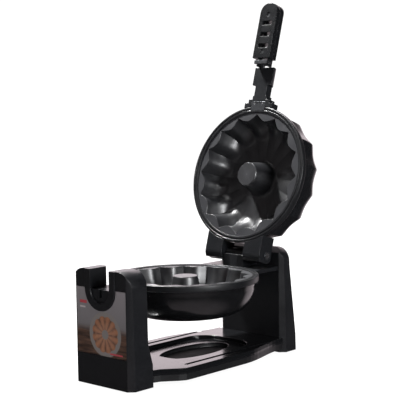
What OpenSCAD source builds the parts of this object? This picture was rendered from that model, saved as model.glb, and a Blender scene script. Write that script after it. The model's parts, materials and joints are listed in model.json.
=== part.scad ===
// Rotary ring-cake maker. A stand with two end posts carries a baking head: a lower
// pan and a hinged lid with fluted ring moulds. The head turns about a lengthwise
// axis between a spindle at the rear post and an open cradle at the front post.
// X runs lengthwise from the front post to the rear post, Z is up, and the origin
// lies on the table under the centre of the lower pan. The lid is drawn open.

/* [Stand] */
// Height of both end posts
post_h = 168; // [166:1:170]
// Depth of the head's turning axis below the posts' tops
axis_drop = 28; // [26:1:30]
// Distance from the rims to the outer face of the front post
front_out = 64; // [60:1:70]
// Thickness of the front post at its top
front_t = 35; // [32:1:38]
// Width of the front post at its foot
front_w = 118; // [112:1:124]
// Distance from the hinge pin to the inner face of the rear post
rear_gap = 26.5; // [26:0.5:30]
// Thickness of the rear post at its top
rear_t = 20; // [19:1:24]
// Thickness of the rear post at its foot
rear_foot_t = 33; // [30:1:38]
// Width of the rear post at its foot
rear_w = 134; // [128:1:140]
// Radius of the posts' top corners
post_r = 22; // [16:1:26]
// Narrowing of a post from foot to top, on each side
post_taper = 2; // [0:0.5:4]
// Bevel on the posts' upright edges
bevel = 8; // [4:0.5:10]
// Wall thickness of the stand's mouldings
wall = 2.6; // [2:0.1:3.2]

/* [Base] */
// Height of the deck between the posts
deck_h = 26; // [24:1:30]
// Height of the skirt's lower edge between the posts
skirt_z = 8; // [5:1:12]
// Greatest half width of the deck
deck_half = 86; // [84:1:92]
// Distance of the deck's recess behind the centre of the pan
recess_mid = 18; // [14:1:22]
// Length of the recess in the deck, under the pan
recess_l = 162; // [150:1:170]
// Width of that recess
recess_w = 114; // [108:1:120]
// Corner radius of that recess
recess_r = 38; // [30:1:45]
// Depth of that recess
recess_depth = 6; // [4:0.5:7]
// Length of the oval well in the recess's floor
well_l = 138; // [130:1:142]
// Width of that well
well_w = 66; // [60:1:72]
// Depth of that well
well_depth = 6.5; // [3:0.5:7]
// Half width at which a groove runs along each edge of the deck
groove_y = 70; // [68:1:74]
// Length of those grooves
groove_l = 190; // [150:5:200]
// Width of those grooves
groove_w = 6; // [4:0.5:8]
// Height of the rubber feet
foot_h = 4; // [3:0.5:5]
// Radius of the rubber feet
foot_r = 8; // [6:0.5:9]

/* [Cradle] */
// Radius of the half-round journals on both handles
journal_r = 19.1; // [17:0.1:20]
// Radial clearance of the journals in the cradle
cradle_gap = 0.4; // [0.2:0.1:0.8]
// Wall of the raised ring round the cradle
cradle_wall = 10.5; // [8:0.5:12]
// Height by which that ring stands out of the post's faces
cradle_lip = 2; // [1:0.5:3]

/* [Baking head] */
// Radius of both rims
rim_r = 111; // [110:0.5:111.5]
// Height of each rim band
rim_h = 9.5; // [8:0.5:11]
// Width of each rim, from its edge to the mould's flange
rim_w = 9.5; // [8:0.5:10]
// Number of flutes round each mould
flutes = 16; // [12:2:20]
// Width of the mould's flange at an outward cusp
flange_w = 3.5; // [3.5:0.5:8]
// Inward bulge of each flute
flute_in = 10; // [4:0.5:11]
// Depth of each baking cavity
cavity = 40; // [34:1:41]
// Radius of the centre cone's flat top
cone_r = 18; // [14:0.5:20]
// Thickness of the mould's sheet
sheet = 1.4; // [1.2:0.1:1.6]
// Depth of the lower shell below the rim plane
pan_depth = 59; // [56:1:62]
// Height of the lid's dome above the rim plane
dome_h = 62; // [58:1:64]
// Inward bulge of each flute of the dome
dome_in = 4.5; // [2:0.5:5]
// Thickness of both shells
shell_t = 2.4; // [2:0.1:2.8]
// Gap between the two rims when the lid is shut
rim_gap = 0.6; // [0.4:0.1:1]

/* [Heating] */
// Radius of the element's sheath
sheath_r = 3.2; // [2.8:0.1:3.4]
// Radius of the thermostat
thermostat_r = 9; // [7:0.5:10]

/* [Hinge] */
// Angle by which the lid is open
open_angle = 106.5; // [100:0.5:107]
// Distance of the hinge pin from the rims' edge
pin_out = 15; // [13:0.5:16]
// Height of the hinge pin above the rim plane
pin_up = 18.5; // [18:0.5:20]
// Radius of the hinge pin
pin_r = 4; // [3:0.25:4.5]
// Running clearance of the hinge pin
pin_gap = 0.05; // [0.02:0.01:0.08]
// Half width of the hinge
hinge_half = 56; // [50:1:60]
// Half width of the centre lug
lug_half = 20.5; // [18:0.5:22]
// Radius of the spindle that carries the head in the rear post
spindle_r = 11; // [9:0.5:12]
// Radius of the spindle's boss on the lower hinge block
boss_r = 16; // [15:0.5:18]
// Running clearance of the spindle in its bush
spindle_gap = 0.05; // [0.02:0.01:0.08]

/* [Handle] */
// Length of the grip
grip_l = 92; // [80:1:100]
// Width of the grip
grip_w = 34; // [30:1:38]
// Thickness of the grip
grip_t = 18; // [16:1:20]
// Height of the grip's middle above the lower rim plane, below it when negative
grip_mid = -5; // [-6:0.5:-4]
// Radius of the grip's round end
grip_r = 15; // [8:0.5:16]
// Number of slots through the grip
slots = 3; // [1:1:4]
// Length of each slot across the grip
slot_l = 21; // [14:1:24]
// Width of each slot along the grip
slot_w = 7; // [5:0.5:8]
// Width of the neck between bracket and journal
neck_w = 24; // [20:1:28]
// Swing of the latch lever
latch_angle = 12; // [8:1:14]

/* [Hidden] */
$fn = 72;
fit = 0.3;              // gap between mouldings that are assembled side by side
seat = 0.2;             // gap between a part and the part it is seated on
far = 400;              // longer than any cut needs to be
axis_z = post_h - axis_drop;
pin_x = rim_r + pin_out;
pin_z = axis_z + pin_up;
rim_in_r = rim_r - rim_w;
cusp_r = rim_in_r - flange_w;
screw_r = 1.6;
screw_hole = screw_r + 0.2;
head_r = 3.4;

// stand
front_x = rim_r + front_out;
front_half = front_w / 2;
front_in = -front_x + front_t;          // inner face of the front post at its top
front_flare = 8;                        // growth of that post's thickness at its foot
front_foot_in = front_in + front_flare;
rear_x = pin_x + rear_gap;
rear_half = rear_w / 2;
rear_out = rear_x + rear_t;
rear_foot_out = rear_x + rear_foot_t;
post_z = 1.5;                           // lower edge of the posts' walls
flare_z = 8;                            // straight height of the front post's thicker foot
flare_h = 30;                           // height over which it thins again
rear_run = 14;                          // bevel on the rear post's upper inner edge
rear_drop = 7.5;                        // height of that bevel, clear of the turning lid
rear_rise = norm([rear_run, rear_drop]) / rear_run;
floor_t = 2.5;                          // thickness of the floor plates
floor_play = 1;                         // further gap at a floor plate's long edges
boss_x0 = -front_x + front_t / 2 + 4;   // floor screws of the front post
boss_x1 = rear_x + rear_foot_t / 2 - 0.5;   // floor screws of the rear post
boss_in = 9;                            // from a post's side to its floor screws
boss_r0 = 4.5;                          // radius of a screw boss
boss_h = 26;
boss_web = 4;
floor_screw_l = 14;
foot_in = 24;                           // from a post's side to its feet
foot_x = 20;                            // from the front post's face to its feet
cradle_r = journal_r + cradle_gap;
cradle_out = cradle_r + cradle_wall;
notch_bevel = 5;                        // bevel on the cradle's upright edges towards the pan
label_z0 = 46;                          // lower edge of the front panel
label_z1 = axis_z + 1;
label_half = front_half - bevel - 1;
label_t = 1.2;
base_x0 = front_foot_in + fit;
base_x1 = rear_x - fit;
base_steps = 28;
widen_l = 45;                           // length over which the base widens behind the front post
narrow_l = 108;                         // length over which it narrows towards the rear post
narrow_in = 6;
groove_depth = 1.2;
well_steps = 48;
bush_r = spindle_r + spindle_gap + 3;
bush_boss = 5;                          // wall of the rear post round the bush
bush_l = 9;                             // length of the bush in the rear post
bush_flange = 3;
washer_x = rear_x + bush_l + 1.6;       // face of the washer behind the bush
ring_x = washer_x + 1.1;                // face of the spindle's ring behind the washer
ring_sunk = 1;                          // depth of the ring's groove in the spindle
cord_z = 30;                            // inlet above the table
cord_r = 6;
cord_bore = 3;
block_z = 44;                           // terminal block above the table
block_size = [9, 32, 11];
block_pitch = 10;

// head
flange_in = rim_gap + 1.6;              // from the lid's rim plane to its mould flange
lip = 1.6;                              // thickness of the rim's inner lip
rim_bevel = 1.5;
rim_skirt = 3.2;                        // from the rim's edge to the lower shell inside it
shell_r = rim_r - rim_skirt;
flange_r = shell_r - fit;               // edge of the mould's flange under the rim's lip
bowl_r = 44;                            // fillet at the bottom of the lower shell
bowl_lean = 1.5;                        // how far its wall leans in
dome_r = rim_r - 1;                     // outward ridges of the dome
dome_lean = [0.5, 2, 7.6, 17, 32];      // how far a ridge leans in on its way up
crown_r = rim_r - 51;                   // radius of the dome's flat crown
wall_lean = [2.5, 7.5, 14.5, 25];       // how far a cavity's wall leans in on its way down
mould_steps = flutes * 4;
mould_under = lip + cavity + sheet;     // rim plane to the underside of the mould
element_r = cone_r + 0.475 * (cusp_r - cone_r);
element_gap = 20;                       // angle left open on each side of the element's ends
element_z = mould_under + seat + sheath_r + 0.2;
terminal_l = 18;
clamp_w = 10;
clamp_l = 16;
clamp_t = 1.2;
thermostat_h = 12;
tab_w = 6;                              // thermostat's terminals
tab_h = 6;
tab_t = 0.8;

// hinge
hinge_root = rim_r - 51;                // inner end of the lower hinge plate
hinge_skirt = 12;                       // depth of the skirt below the rim band
hinge_out = rim_r + 7;                  // outer radius of the skirt
hinge_side = 2;                         // lower hinge plate beyond the lid's cheeks
hinge_screws = [16, 26];                // angles of the screws through the skirt
plate_top = 0.8;                        // lower hinge plate below the rim plane
plate_t = 6;                            // thickness of that plate
lug_t = 7;                              // lug either side of the pin
cheek_in = lug_half + 1.5;              // inner faces of the lid's hinge cheeks
cheek_top = 11;                         // hinge cheek above the pin
cheek_sweep = pin_up - rim_gap;         // greatest reach of a cheek round the pin
cheek_r = 12.5;                         // cheek round the pin on the post's side
cheek_root = rim_r - 19;
bridge_r = lug_t + 1.8;                 // inside of the bridge between the cheeks
bridge_z = 4;                           // lower edge of that bridge above the pin
bridge_end = (pin_up + cheek_r * cos(open_angle) - boss_r - 1.5) / sin(open_angle);
                                        // its edge beyond the pin, clear of the boss when open
lid_screw_angle = 20;
cap_t = 1.4;                            // clips on the hinge pin's ends

// handle
bracket_x = rim_r + 16;                 // outer end of the lower bracket
bracket_root = rim_r - 21;              // where both brackets end under the rims
stub_half = 22;                         // half width of the lower bracket
stub_screw_y = 17.5;
stub_screw_z = rim_h + 5;
bracket_half = [28, 21, 14];            // half widths of the lid bracket's steps
bracket_out = 5;                        // first step beyond the rim
bracket_step = 6;
bracket_h = 16;
neck_h = 13;
pad_in = rim_r - 8;                     // small plate on the lid bracket
pad_out = rim_r + 8;
pad_half = 14;
pad_t = 0.9;
pad_screw_x = rim_r + 5;
pad_screw_y = 8;
pad_screw_r = 1.2;
journal_out = 35;                       // from the rims to the upper journal
journal_l = 29;                         // length of the upper journal
journal_x0 = rim_r + journal_out;
journal_x1 = journal_x0 + journal_l;    // outer end of both journals
latch_r = 2;
latch_barrel = 4.5;
latch_x = journal_x1 + latch_barrel + 1.5;
latch_up = -3;                          // latch pin above the rim plane
lever_half = 8.5;
thumb_half = 12.5;
thumb_up = -13;                         // outer face of the lever's thumb bar
thumb_t = 3.5;
thumb_l = 6;
tongue_half = 2;
tongue_l = 9;
ear_in = lever_half + 0.3;
ear_t = 3;
ear_up0 = -7;
ear_up1 = 3;
ear_x = latch_x + 20;                   // ends of the ears inside the grip
grip_x = latch_x + latch_barrel + 1.5;
grip_end = grip_x + grip_l;
slot_pitch = 19;
slot_mid = grip_x + 0.43 * grip_l;
grip_screw_in = [11, 19];               // from the grip's ends to its screws
grip_screw_x = [grip_x + grip_screw_in[0], grip_end - grip_screw_in[1]];
sink = 3;                               // depth of the grip screws' heads

// ---- helpers ----

// Solid cylinder along X from x0 to x1, centred on y = 0 and the height z
module rod_x(x0, x1, r, z) {
    translate([x0, 0, z]) rotate([0, 90, 0]) cylinder(h = x1 - x0, r = r);
}

// Solid cylinder along Y from y0 to y1
module rod_y(y0, y1, r, x, z) {
    translate([x, y1, z]) rotate([90, 0, 0]) cylinder(h = y1 - y0, r = r);
}

// Box between two corners
module box(a, b) {
    translate(a) cube(b - a);
}

// An outline in X and Z, extruded across the width from -half to half
module side(half) {
    translate([0, half, 0]) rotate([90, 0, 0]) linear_extrude(height = 2 * half) children();
}

// Puts a piece drawn with the lid shut into the open position
module opened() {
    translate([pin_x, 0, pin_z]) rotate([0, open_angle, 0]) translate([-pin_x, 0, -pin_z]) children();
}

// Raises a piece drawn about the rim plane to the axis
module head() {
    translate([0, 0, axis_z]) children();
}

// Pan-head screw whose head stands under z = 0, with the shank going up
module screw(length, r = screw_r) {
    translate([0, 0, -2]) cylinder(h = 2, r = 2.1 * r, $fn = 24);
    cylinder(h = length, r = r, $fn = 24);
}

function smooth(t) = t * t * (3 - 2 * t);
function blend(x, x0, x1, a, b) = a + (b - a) * smooth(min(1, max(0, (x - x0) / (x1 - x0))));

// ---- stand ----

// Post outline seen along X: tapered, with round top corners
module post_front(half, t) {
    top = half - post_taper - t;
    r = post_r - t;
    polygon([[-half + t, -1], [half - t, -1], [top, post_h - post_r], [-top, post_h - post_r]]);
    for (s = [-1, 1]) translate([s * (top - r), post_h - post_r]) circle(r);
    translate([-top + r, post_h - post_r - 1]) square([2 * (top - r), r + 1]);
}

module front_block(t) {
    intersection() {
        translate([-front_x - 1, 0, 0]) rotate([90, 0, 90])
            linear_extrude(height = 2 * front_t) post_front(front_half, t);
        side(front_w) polygon([
            [-front_x + t, t > 0 ? -1 : post_z], [front_foot_in - t, t > 0 ? -1 : post_z],
            [front_foot_in - t, deck_h + flare_z], [front_in - t, deck_h + flare_z + flare_h],
            [front_in - t, post_h + 1], [-front_x + t, post_h + 1]]);
        linear_extrude(height = post_h + 1) polygon([
            [-front_x + t, -front_half + bevel], [-front_x + bevel, -front_half + t],
            [front_foot_in, -front_half + t], [front_foot_in, front_half - t],
            [-front_x + bevel, front_half - t], [-front_x + t, front_half - bevel]]);
    }
}

module cradle_outline(r) {
    translate([0, axis_z]) circle(r);
    translate([-r, axis_z]) square([2 * r, post_h - axis_z]);
}

module front_post() color([0.12, 0.13, 0.14]) {
    difference() {
        union() {
            difference() {
                front_block(0);
                front_block(wall);
                label_pocket();
            }
            // raised cradle ring right through the post
            translate([-front_x - cradle_lip, 0, 0]) rotate([90, 0, 90])
                linear_extrude(height = front_t + cradle_lip) cradle_outline(cradle_out);
            for (s = [-1, 1]) screw_boss(boss_x0, s, front_half);
        }
        translate([-front_x - far / 2, 0, 0]) rotate([90, 0, 90])
            linear_extrude(height = far) cradle_outline(cradle_r);
        box([-front_x - far / 2, -cradle_r, axis_z], [-far / 4, cradle_r, post_h + far]);
        // bevels where the cradle opens towards the pan
        for (s = [-1, 1]) translate([0, 0, axis_z]) linear_extrude(height = far) polygon([
            [front_in - notch_bevel, s * cradle_r], [front_in + 1, s * (cradle_r + notch_bevel + 1)],
            [front_in + 1, s * (cradle_r - 1)], [front_in - notch_bevel, s * (cradle_r - 1)]]);
    }
}

// Boss for a floor screw, joined to the side wall
module screw_boss(x, s, half) {
    y = half - boss_in;
    scale([1, s, 1]) difference() {
        union() {
            translate([x, y, foot_h + floor_t + seat]) cylinder(h = boss_h, r = boss_r0);
            translate([x - boss_web / 2, y, foot_h + floor_t + seat])
                cube([boss_web, boss_in - wall / 2, boss_h]);
        }
        translate([x, y, 0]) cylinder(h = foot_h + floor_screw_l + 1, r = screw_r, $fn = 24);
    }
}

module label_outline(gap) {
    difference() {
        translate([-label_half - gap, label_z0 - gap])
            square([2 * (label_half + gap), label_z1 - label_z0 + 2 * gap]);
        translate([0, axis_z]) circle(cradle_out + fit - gap);
    }
}

module label_pocket() {
    translate([-front_x - 1, 0, 0]) rotate([90, 0, 90]) linear_extrude(height = 1 + label_t) label_outline(fit);
}

module label_panel() color([0.2, 0.2, 0.22]) {
    translate([-front_x, 0, 0]) rotate([90, 0, 90]) linear_extrude(height = label_t) label_outline(0);
}

// Floor plate of a post: the inside of the post, cut to a slab
module front_floor() color([0.1, 0.1, 0.1]) {
    difference() {
        intersection() {
            translate([0, 0, foot_h]) cube_slab(floor_t);
            box([-front_x + wall + fit, -front_half + wall + fit + floor_play, 0],
                [front_foot_in - wall - fit, front_half - wall - fit - floor_play, post_h]);
        }
        for (s = [-1, 1]) {
            translate([boss_x0, s * (front_half - boss_in), 0])
                cylinder(h = post_h, r = screw_r + fit, $fn = 24);
            // cut corners that follow the post's bevel
            translate([-front_x + wall, s * (front_half - wall), 0]) rotate([0, 0, 45])
                cube([2 * bevel, 2 * bevel, post_h], center = true);
        }
    }
}

module cube_slab(t) {
    translate([-far, -far, 0]) cube([2 * far, 2 * far, t]);
}

// Half width of the base between the posts
function base_half(x) = x < 0
    ? blend(x, base_x0, base_x0 + widen_l, front_half, deck_half)
    : blend(x, base_x1 - narrow_in - narrow_l, base_x1 - narrow_in, deck_half, rear_half);

module base_outline(t) {
    xs = [for (i = [0:base_steps]) base_x0 + t + (base_x1 - base_x0 - 2 * t) * i / base_steps];
    polygon(concat([for (x = xs) [x, -base_half(x) + t]],
                   [for (i = [base_steps:-1:0]) [xs[i], base_half(xs[i]) - t]]));
}

// Recess under the pan, grown by extra
module recess(extra) {
    half_l = recess_l / 2 + extra;
    half_w = recess_w / 2 + extra;
    r = recess_r + extra;
    translate([recess_mid, 0]) {
        square([2 * half_l, 2 * (half_w - r)], center = true);
        square([2 * (half_l - r), 2 * half_w], center = true);
        for (sx = [-1, 1], sy = [-1, 1]) translate([sx * (half_l - r), sy * (half_w - r)]) circle(r);
    }
}

module well(extra) {
    polygon([for (i = [0:well_steps - 1]) let (a = 360 * i / well_steps)
        [recess_mid + (well_l / 2 + extra) * cos(a), (well_w / 2 + extra) * sin(a)]]);
}

module sunk(z, h) {
    translate([0, 0, z]) linear_extrude(height = h) children();
}

module base_shell() color([0.13, 0.13, 0.14]) {
    recess_z = deck_h - recess_depth;
    difference() {
        union() {
            difference() {
                sunk(skirt_z, deck_h - skirt_z) base_outline(0);
                sunk(skirt_z - 1, deck_h - wall - skirt_z + 1) base_outline(wall);
            }
            sunk(recess_z - wall, recess_depth + wall / 2) recess(wall);
            sunk(recess_z - well_depth - wall / 2, well_depth) well(wall);
        }
        sunk(recess_z, far) recess(0);
        sunk(recess_z - well_depth, far) well(0);
        for (s = [-1, 1])
            box([recess_mid - groove_l / 2, s * groove_y - groove_w / 2, deck_h - groove_depth],
                [recess_mid + groove_l / 2, s * groove_y + groove_w / 2, far]);
    }
}

module base_floor() color([0.1, 0.1, 0.1]) {
    translate([0, 0, skirt_z]) linear_extrude(height = floor_t) base_outline(wall + fit);
}

// Height at which the inner face of the rear post would meet its bevel, t inside the faces
function bevel_z(t) = post_h - rear_drop - t * rear_rise;

module rear_block(t) {
    top = post_h + (t > 0 ? 0.5 - t : 1);
    intersection() {
        translate([rear_x - 1, 0, 0]) rotate([90, 0, 90])
            linear_extrude(height = 2 * rear_foot_t) post_front(rear_half, t);
        side(rear_w) polygon([
            [rear_x + t, t > 0 ? -1 : post_z], [rear_foot_out - t, t > 0 ? -1 : post_z],
            [rear_foot_out - t, deck_h], [rear_out - t, axis_z],
            [rear_out - t, top], [rear_x + (top - bevel_z(t)) * rear_run / rear_drop, top],
            [rear_x + t, bevel_z(t) + t * rear_drop / rear_run]]);
        linear_extrude(height = post_h + 1) polygon([
            [rear_x + t, -rear_half + bevel], [rear_x + bevel, -rear_half + t],
            [rear_foot_out, -rear_half + t], [rear_foot_out, rear_half - t],
            [rear_x + bevel, rear_half - t], [rear_x + t, rear_half - bevel]]);
    }
}

module rear_post() color([0.12, 0.13, 0.14]) {
    difference() {
        union() {
            difference() {
                rear_block(0);
                rear_block(wall);
            }
            intersection() {
                rod_x(rear_x, rear_x + bush_l, bush_r + bush_boss, axis_z);
                rear_block(0);
            }
            for (s = [-1, 1]) screw_boss(boss_x1, s, rear_half);
        }
        rod_x(rear_x - 1, rear_x + bush_l + 1, bush_r, axis_z);
        rod_x(rear_x + wall + 1, far, cord_r, cord_z);
    }
}

module rear_floor() color([0.1, 0.1, 0.1]) {
    difference() {
        box([rear_x + wall + fit, -rear_half + wall + fit + floor_play, foot_h],
            [rear_foot_out - wall - fit, rear_half - wall - fit - floor_play, foot_h + floor_t]);
        for (s = [-1, 1]) {
            translate([boss_x1, s * (rear_half - boss_in), 0])
                cylinder(h = post_h, r = screw_r + fit, $fn = 24);
            translate([rear_x + wall, s * (rear_half - wall), 0]) rotate([0, 0, 45])
                cube([2 * bevel, 2 * bevel, post_h], center = true);
        }
    }
}

module rubber_feet() color([0.08, 0.08, 0.08]) {
    for (s = [-1, 1]) {
        translate([-front_x + foot_x, s * (front_half - foot_in), 0]) cylinder(h = foot_h, r = foot_r);
        translate([boss_x1, s * (rear_half - foot_in), 0]) cylinder(h = foot_h, r = foot_r);
    }
}

module floor_screws() color([0.7, 0.7, 0.7]) {
    for (s = [-1, 1]) {
        translate([boss_x0, s * (front_half - boss_in), foot_h]) screw(floor_screw_l);
        translate([boss_x1, s * (rear_half - boss_in), foot_h]) screw(floor_screw_l);
    }
}

// The bush's flange, a washer and the spindle's ring follow one another in the rear post
module bearing_bush() color([0.8, 0.8, 0.76]) {
    difference() {
        union() {
            rod_x(rear_x + seat, rear_x + bush_l + 0.5, bush_r, axis_z);
            rod_x(rear_x + bush_l, washer_x - 0.1, bush_r + bush_flange, axis_z);
        }
        rod_x(rear_x - 1, washer_x, spindle_r + spindle_gap, axis_z);
    }
}

module spindle_washer() color([0.75, 0.75, 0.75]) {
    difference() {
        rod_x(washer_x, washer_x + 1, bush_r + 2, axis_z);
        rod_x(washer_x - 1, washer_x + 2, spindle_r + 0.1, axis_z);
    }
}

module spindle_ring() color([0.6, 0.6, 0.6]) {
    difference() {
        rod_x(ring_x, ring_x + 1.2, spindle_r + 2.5, axis_z);
        rod_x(ring_x - 1, ring_x + 2, spindle_r - ring_sunk, axis_z);
        box([ring_x - 1, -3, axis_z - far], [ring_x + 2, 3, axis_z]);
    }
}

module cord_bush() color([0.1, 0.1, 0.1]) {
    difference() {
        union() {
            rod_x(rear_foot_out - 6, rear_foot_out + 5, cord_r - 0.05, cord_z);
            rod_x(rear_foot_out + 0.6, rear_foot_out + 3, cord_r + 2.5, cord_z);
        }
        rod_x(rear_foot_out - 8, rear_foot_out + 6, cord_bore, cord_z);
    }
}

module terminal_block() color([0.85, 0.85, 0.8]) {
    difference() {
        translate([rear_x + wall + seat, -block_size[1] / 2, block_z]) cube(block_size);
        for (i = [-1, 0, 1]) translate([rear_x + wall + seat + block_size[0] / 2, i * block_pitch, 0])
            cylinder(h = post_h, r = 1.8, $fn = 24);
    }
}

// ---- moulds ----

// Flute phase round the mould: 0 on an outward cusp, 1 between two cusps
function phase(a) = abs(sin(a * flutes / 2));

// Radius at the fraction t of the way from the cone's top to the cusps
function across(t) = cone_r + t * (cusp_r - cone_r);

// Cavity profile at phase f as [radius, height below the flange], rim to centre
function cavity_profile(f) = let (edge = cusp_r - flute_in * f) [
    [flange_r, 0], [edge, 0],
    [edge - wall_lean[0], -cavity * 0.3], [edge - wall_lean[1], -cavity * 0.62],
    [edge - wall_lean[2], -cavity * 0.84], [edge - wall_lean[3] + f * 3, -cavity * 0.96],
    [across(0.55) - 2 * f, -cavity + f], [across(0.4), -cavity + f / 2], [across(0.17), -cavity],
    [across(0.13), -cavity * 0.965], [across(0.11), -cavity * 0.9], [across(0.075), -cavity * 0.6],
    [across(0.04), -cavity * 0.3], [across(0.015), -cavity * 0.06], [cone_r, 0], [1, 0]];

// The same profile moved by the sheet's thickness along its normal
function under(p, i, n) = let (
        a = p[max(i - 1, 0)], b = p[min(i + 1, n - 1)],
        d = b - a, l = norm(d))
    i < 1 || i > n - 2 ? [p[i][0], p[i][1] - sheet] : p[i] + [-d[1], d[0]] * sheet / l;

// Closed thin sheet: rings of the cavity surface, then rings of its underside
module mould(up) {
    n = len(cavity_profile(0));
    m = mould_steps;
    pts = concat(
        [for (i = [0:n - 1]) for (k = [0:m - 1]) let (a = 360 * k / m, q = cavity_profile(phase(a))[i])
            [q[0] * cos(a), q[0] * sin(a), q[1]]],
        [for (i = [n - 1:-1:0]) for (k = [0:m - 1])
            let (a = 360 * k / m, p = cavity_profile(phase(a)), q = under(p, i, n))
            [q[0] * cos(a), q[0] * sin(a), q[1]]]);
    body = [for (i = [0:2 * n - 1]) if (i != n - 1) for (k = [0:m - 1])
        let (j = (i + 1) % (2 * n), k2 = (k + 1) % m)
        for (tri = [[i * m + k, j * m + k, j * m + k2], [i * m + k, j * m + k2, i * m + k2]]) tri];
    caps = [[for (k = [m - 1:-1:0]) (n - 1) * m + k], [for (k = [0:m - 1]) n * m + k]];
    mirror([0, 0, up ? 1 : 0]) polyhedron(pts, concat(body, caps), convexity = 10);
}

// ---- lower half of the head ----

module lower_rim() color([0.1, 0.1, 0.11]) head() rotate_extrude($fn = 144) polygon([
    [rim_in_r, -lip], [shell_r + fit, -lip], [shell_r + fit, -rim_h], [rim_r - rim_bevel, -rim_h],
    [rim_r, -rim_h + rim_bevel], [rim_r, -1], [rim_r - 1, 0], [rim_in_r, 0]]);

// Bowl outline, moved inward by t
function bowl(t) = concat([[0, -pan_depth + t]],
    [for (a = [0:9:90]) [shell_r - bowl_lean - bowl_r + (bowl_r - t) * sin(a),
                         -pan_depth + bowl_r - (bowl_r - t) * cos(a)]],
    [[shell_r - t, -rim_h], [shell_r - t, -lip - sheet]]);

module lower_shell() color([0.03, 0.03, 0.035]) head() rotate_extrude($fn = 144)
    polygon(concat(bowl(0), [for (i = [len(bowl(0)) - 1:-1:0]) bowl(shell_t)[i]]));

module lower_mould() color([0.22, 0.22, 0.23]) head() translate([0, 0, -lip]) mould(false);

module element() color([0.6, 0.6, 0.58]) {
    rotate([0, 0, element_gap]) rotate_extrude(angle = 360 - 2 * element_gap)
        translate([element_r, -element_z]) circle(sheath_r, $fn = 24);
    for (s = [-1, 1]) rotate([0, 0, s * element_gap]) translate([element_r, s, -element_z])
        rotate([0, 90, 0]) cylinder(h = terminal_l, r = sheath_r - 0.6, $fn = 24);
}

module clamps() color([0.7, 0.7, 0.7]) {
    for (a = [60, 180, 300]) rotate([0, 0, a]) difference() {
        translate([element_r - clamp_l / 2, -clamp_w / 2, -element_z - sheath_r - clamp_t])
            cube([clamp_l, clamp_w, sheath_r * 2 + clamp_t + seat]);
        rotate([0, 0, -clamp_w]) rotate_extrude(angle = 2 * clamp_w) translate([element_r, -element_z])
            circle(sheath_r + 0.1, $fn = 24);
    }
}

// Top of the thermostat, under the centre cone
thermostat_z = -lip - sheet - seat;

module thermostat() color([0.85, 0.84, 0.8]) {
    translate([0, 0, thermostat_z - thermostat_h]) cylinder(h = thermostat_h, r = thermostat_r);
    for (s = [-1, 1])
        translate([s * (thermostat_r - 4) - tab_w / 2, -tab_t / 2, thermostat_z - thermostat_h - tab_h])
            cube([tab_w, tab_t, tab_h + seat]);
}

// Post between a shell's flat inside, at the depth given, and the thermostat
module thermostat_post(depth) color([0.7, 0.7, 0.7]) {
    difference() {
        translate([0, 0, -depth])
            cylinder(h = depth + thermostat_z - thermostat_h - seat, r = thermostat_r - 1);
        translate([-far, -2.5, thermostat_z - thermostat_h - tab_h - 0.6]) cube([2 * far, 5, tab_h + 2]);
    }
}

module lower_element() head() element();
module lower_clamps() head() clamps();
module lower_thermostat() head() thermostat();
module lower_thermostat_post() head() thermostat_post(pan_depth - shell_t);

// Hinge plate under the rim plane, a skirt hooked round the shell, and the lug
module lower_hinge() color([0.1, 0.1, 0.11]) head() difference() {
    plate_half = hinge_half + hinge_side;
    union() {
        box([hinge_root, -plate_half, -plate_top - plate_t], [rear_x - 1, plate_half, -plate_top]);
        intersection() {
            translate([0, 0, -rim_h - hinge_skirt])
                cylinder(h = hinge_skirt + rim_h - plate_top, r = hinge_out, $fn = 144);
            box([hinge_root, -plate_half, -far], [far, plate_half, far]);
        }
        box([rim_r, -lug_half, -hinge_skirt], [pin_x + lug_t, lug_half, pin_up]);
        rod_y(-lug_half, lug_half, lug_t + 1, pin_x, pin_up);
        rod_x(rim_r, rear_x - 1, boss_r, 0);
    }
    translate([0, 0, -rim_h - fit]) cylinder(h = far, r = rim_r + fit, $fn = 144);
    translate([0, 0, -far / 2]) cylinder(h = far / 2, r = shell_r + fit, $fn = 144);
    rod_y(-far, far, pin_r + pin_gap, pin_x, pin_up);
    rod_x(pin_x + 2, far, spindle_r, 0);
    for (s = [-1, 1], a = hinge_screws) rotate([0, 0, s * a])
        rod_x(hinge_root, far, screw_r, -rim_h - hinge_skirt / 2);
}

module lower_hinge_screws() color([0.6, 0.6, 0.6]) head()
    for (s = [-1, 1], a = hinge_screws) rotate([0, 0, s * a])
        translate([hinge_out, 0, -rim_h - hinge_skirt / 2]) rotate([0, -90, 0])
            screw(hinge_out - shell_r - 1);

// Hollow shaft with a groove for its ring behind the rear post's bush
module spindle() color([0.7, 0.7, 0.7]) head() difference() {
    rod_x(pin_x + 2, ring_x + 2.8, spindle_r, 0);
    rod_x(pin_x, far, spindle_r - 4, 0);
    difference() {
        rod_x(ring_x - 0.1, ring_x + 1.3, spindle_r + 1, 0);
        rod_x(ring_x - 1, ring_x + 2, spindle_r - ring_sunk - 0.05, 0);
    }
}

module hinge_pin() color([0.7, 0.7, 0.7]) head()
    rod_y(-hinge_half - cap_t - 0.4, hinge_half + cap_t + 0.4, pin_r, pin_x, pin_up);

module pin_caps() color([0.6, 0.6, 0.6]) head() for (s = [-1, 1]) scale([1, s, 1]) difference() {
    rod_y(hinge_half + seat, hinge_half + seat + cap_t, pin_r + 2.5, pin_x, pin_up);
    rod_y(hinge_half, hinge_half + seat + cap_t + 1, pin_r, pin_x, pin_up);
}

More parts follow.
